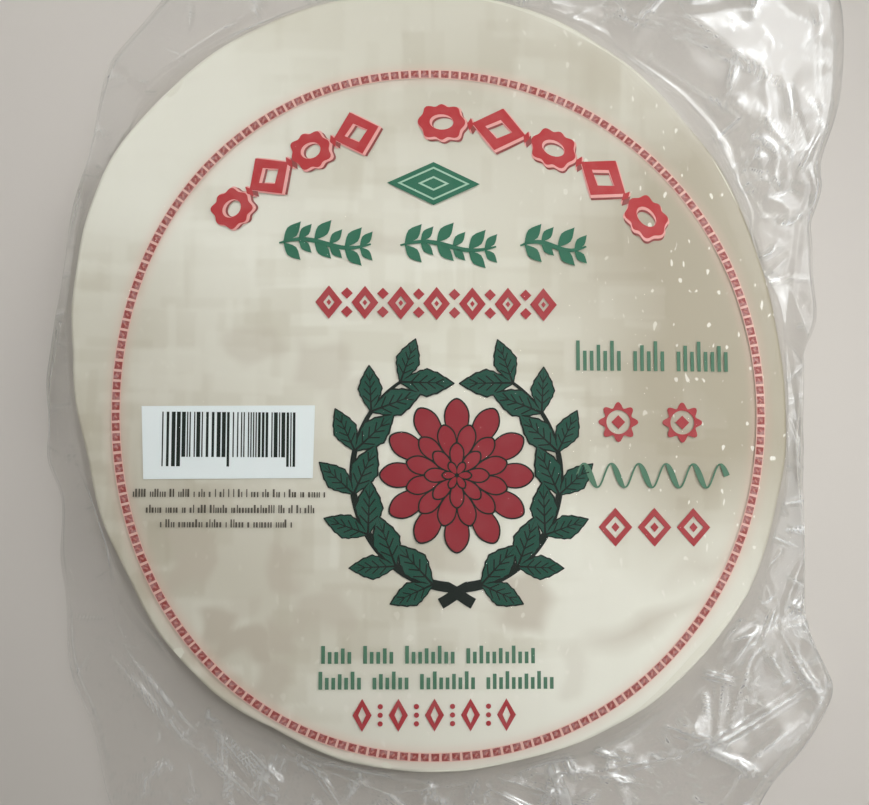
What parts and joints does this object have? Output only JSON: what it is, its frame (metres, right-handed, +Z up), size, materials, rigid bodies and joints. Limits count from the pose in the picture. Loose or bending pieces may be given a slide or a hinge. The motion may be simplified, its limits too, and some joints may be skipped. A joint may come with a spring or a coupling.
{
  "type": "rice paper wrapper stack in a film bag",
  "caption": "Flat round stack of thin dried rice paper sheets in a loose clear film bag with a plain printed ornament, lying with the print up.",
  "frame": {"origin": "bottom centre of the whole pack's box, on the surface that it lies on", "axes": "+Z up out of the printed side, +Y towards the top of the print along the bag's length, +X to the right"},
  "size_m": [0.2418, 0.2678, 0.019],
  "materials": {
    "film": "thin clear glossy film, crumpled",
    "rice_sheet": "dried, slightly translucent cream sheet with a woven mat relief",
    "print_red": "red ink on film",
    "print_pale_red": "pale red ink on film",
    "print_green": "green ink on film",
    "print_dark": "dark ink on film",
    "print_white": "white ink on film"
  },
  "bodies": {
    "root": {"film_bag": "film"}
  },
  "joints": []
}
